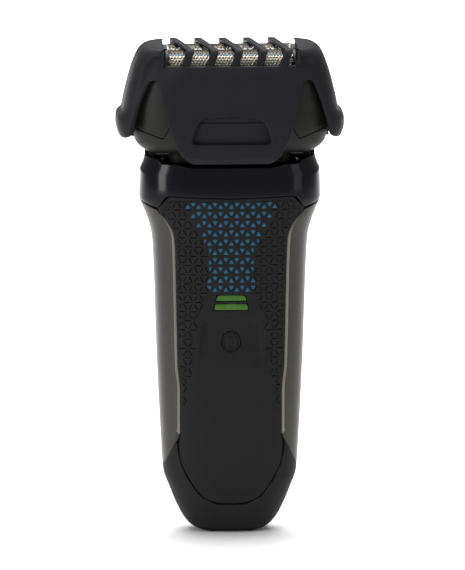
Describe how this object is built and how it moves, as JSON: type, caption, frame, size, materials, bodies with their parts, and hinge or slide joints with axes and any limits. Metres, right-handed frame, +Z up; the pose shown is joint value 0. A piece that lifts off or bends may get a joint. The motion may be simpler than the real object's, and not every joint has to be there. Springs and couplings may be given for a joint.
{
  "type": "foil shaver",
  "caption": "Handheld foil shaver with a tapering grip, a pivoting twin-foil head under a lift-off ribbed comb, and a pop-up rear trimmer.",
  "frame": {"origin": "centre of the flat base under the handle", "axes": "+Z up the handle towards the foils, -Y towards the front with the power button, +X to the user's right when facing the front"},
  "size_m": [0.0762, 0.0362, 0.1641],
  "materials": {
    "soft_touch": "matte soft-touch overmould",
    "grip_rubber": "moulded rubber with an engraved triangle lattice and blue triangle marks",
    "gloss_black": "piano-black gloss",
    "graphite": "satin graphite metallic",
    "comb_black": "satin moulded",
    "head_grey": "satin moulded, brownish dark grey",
    "inner_black": "moulded, unseen",
    "nylon": "natural moulded",
    "steel": "ground steel",
    "foil": "perforated electroformed foil",
    "cutter_blue": "moulded blue",
    "lens_green": "translucent green",
    "light_guide": "clear moulded",
    "cell_wrap": "shrink-wrapped cell",
    "board": "green circuit board",
    "contact": "plated contacts",
    "magnet": "sintered ferrite",
    "windings": "laminated core with enamelled windings",
    "seal_rubber": "moulded seal"
  },
  "bodies": {
    "handle": {"front_shell": "inner_black", "rear_shell": "inner_black", "fascia": "gloss_black", "grip_panel": "grip_rubber", "side_panel_left": "graphite", "side_panel_right": "graphite", "lower_bumper": "soft_touch", "rear_cover": "soft_touch", "base_cap": "soft_touch", "charge_socket": "inner_black", "charge_pins": "contact", "inner_frame": "nylon", "battery": "cell_wrap", "battery_contacts": "contact", "circuit_board": "board", "tact_switch": "inner_black", "light_guide": "light_guide", "indicator_lenses": "lens_green", "motor_can": "steel", "motor_magnets": "magnet", "neck_deck": "gloss_black", "pivot_bracket": "gloss_black", "bracket_gasket": "seal_rubber", "shaft_seal": "seal_rubber", "bracket_screws": "steel", "pivot_pins": "steel", "trimmer_bay": "inner_black", "trimmer_pin": "steel"},
    "button": {"power_button": "grip_rubber"},
    "rotor": {"motor_armature": "windings", "motor_shaft": "steel", "eccentric_cam": "nylon"},
    "head": {"head_chassis": "head_grey", "head_housing": "head_grey", "guide_rods": "steel"},
    "bridge": {"drive_bridge": "nylon", "drive_posts": "steel"},
    "front_cutter": {"front_blade_carrier": "cutter_blue", "front_blades": "steel", "front_springs": "steel"},
    "rear_cutter": {"rear_blade_carrier": "cutter_blue", "rear_blades": "steel", "rear_springs": "steel"},
    "release_left": {"release_button_left": "head_grey"},
    "release_right": {"release_button_right": "head_grey"},
    "cassette": {"foil_frame": "head_grey", "foil_deck": "inner_black", "intercept_guard": "steel"},
    "intercept": {"intercept_blade": "steel"},
    "front_foil_unit": {"front_foil": "foil", "front_foil_holder": "cutter_blue"},
    "rear_foil_unit": {"rear_foil": "foil", "rear_foil_holder": "cutter_blue"},
    "comb_unit": {"comb": "comb_black"},
    "trimmer": {"trimmer_arm": "soft_touch", "trimmer_fixed_blade": "steel"},
    "trimmer_cutter": {"trimmer_moving_blade": "steel"},
    "trimmer_slider": {"trimmer_switch": "gloss_black"}
  },
  "joints": [
    {"name": "head_pivot", "type": "hinge", "parent": "handle", "child": "head", "pos_m": [0, 0, 0.127], "axis": [1, 0, 0], "range_deg": [-8, 8], "stiffness_Nm_per_rad": 0.2},
    {"name": "cassette_lift", "type": "slide", "parent": "head", "child": "cassette", "axis": [0, 0, 1], "range_m": [0, 0.03]},
    {"name": "comb_lift", "type": "slide", "parent": "cassette", "child": "comb_unit", "axis": [0, 0, 1], "range_m": [0, 0.045]},
    {"name": "front_foil_flex", "type": "slide", "parent": "cassette", "child": "front_foil_unit", "axis": [0, 0, 1], "range_m": [-0.0015, 0], "stiffness_N_per_m": 400},
    {"name": "rear_foil_flex", "type": "slide", "parent": "cassette", "child": "rear_foil_unit", "axis": [0, 0, 1], "range_m": [-0.0015, 0], "stiffness_N_per_m": 400},
    {"name": "drive_stroke", "type": "slide", "parent": "head", "child": "bridge", "axis": [1, 0, 0], "range_m": [-0.0012, 0.0012]},
    {"name": "front_cutter_float", "type": "slide", "parent": "bridge", "child": "front_cutter", "axis": [0, 0, 1], "range_m": [-0.0015, 0], "stiffness_N_per_m": 400, "deforming": ["front_springs"]},
    {"name": "rear_cutter_float", "type": "slide", "parent": "bridge", "child": "rear_cutter", "axis": [0, 0, 1], "range_m": [-0.0015, 0], "stiffness_N_per_m": 400, "deforming": ["rear_springs"]},
    {"name": "motor_turn", "type": "hinge", "parent": "handle", "child": "rotor", "pos_m": [0, 0, 0.11], "axis": [0, 0, 1], "range_deg": [-90.1, 90.1]},
    {"name": "intercept_stroke", "type": "slide", "parent": "cassette", "child": "intercept", "axis": [1, 0, 0], "range_m": [-0.00121, 0.00121]},
    {"name": "power_press", "type": "slide", "parent": "handle", "child": "button", "axis": [0, 1, 0], "range_m": [0, 0.0006], "stiffness_N_per_m": 1500},
    {"name": "release_left_press", "type": "slide", "parent": "head", "child": "release_left", "axis": [1, 0, 0], "range_m": [0, 0.0012], "stiffness_N_per_m": 1500},
    {"name": "release_right_press", "type": "slide", "parent": "head", "child": "release_right", "axis": [-1, 0, 0], "range_m": [0, 0.0012], "stiffness_N_per_m": 1500},
    {"name": "trimmer_slide", "type": "slide", "parent": "handle", "child": "trimmer_slider", "axis": [0, 0, 1], "range_m": [0, 0.006]},
    {"name": "trimmer_popup", "type": "hinge", "parent": "handle", "child": "trimmer", "pos_m": [0, 0.0115, 0.087], "axis": [-1, 0, 0], "range_deg": [0, 70.1]},
    {"name": "trimmer_stroke", "type": "slide", "parent": "trimmer", "child": "trimmer_cutter", "axis": [1, 0, 0], "range_m": [-0.00081, 0.00081]}
  ],
  "couplings": [
    {"joint": "motor_turn", "follows": "drive_stroke", "rad_per_m": 1309},
    {"joint": "intercept_stroke", "follows": "drive_stroke", "ratio": 1},
    {"joint": "trimmer_stroke", "follows": "drive_stroke", "ratio": 0.66667},
    {"joint": "front_cutter_float", "follows": "front_foil_flex", "ratio": 1},
    {"joint": "rear_cutter_float", "follows": "rear_foil_flex", "ratio": 1},
    {"joint": "trimmer_popup", "follows": "trimmer_slide", "rad_per_m": 203.62}
  ]
}
